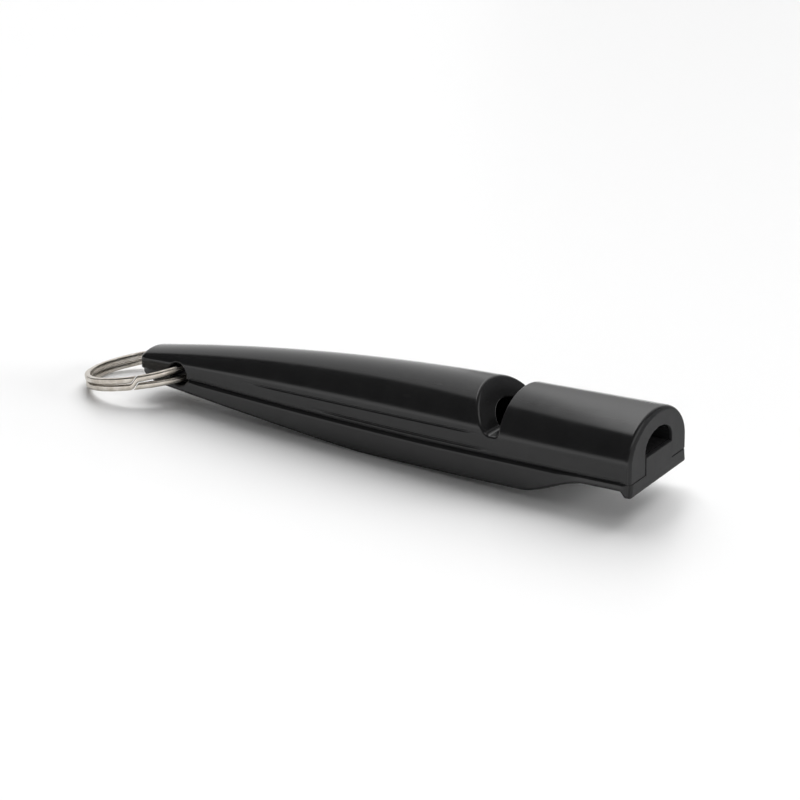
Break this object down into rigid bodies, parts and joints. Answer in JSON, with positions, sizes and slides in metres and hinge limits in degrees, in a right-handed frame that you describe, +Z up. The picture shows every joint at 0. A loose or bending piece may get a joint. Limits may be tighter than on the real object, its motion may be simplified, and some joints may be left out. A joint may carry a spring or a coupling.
{
  "type": "dog whistle",
  "caption": "Slim moulded dog whistle with a D-shaped mouth hole, a saddle-shaped sound window, a stepped bite plate and a split ring that swings through its tapered tail.",
  "frame": {"origin": "middle of the flat part of the keel that the whistle rests on, at the height of that face", "axes": "+X along the whistle towards the mouth, +Y across it, +Z up through the crest of the top"},
  "size_m": [0.0913, 0.0186, 0.0118],
  "materials": {
    "black_plastic": "gloss",
    "nickel_wire": "polished"
  },
  "bodies": {
    "whistle": {"upper_shell": "black_plastic", "lower_body": "black_plastic", "tuning_stop": "black_plastic"},
    "ring": {"split_ring": "nickel_wire"}
  },
  "joints": [
    {"name": "ring_swing", "type": "hinge", "parent": "whistle", "child": "ring", "pos_m": [-0.0452, 0, 0.00535], "axis": [0, 1, 0], "range_deg": [-140, 155]}
  ]
}
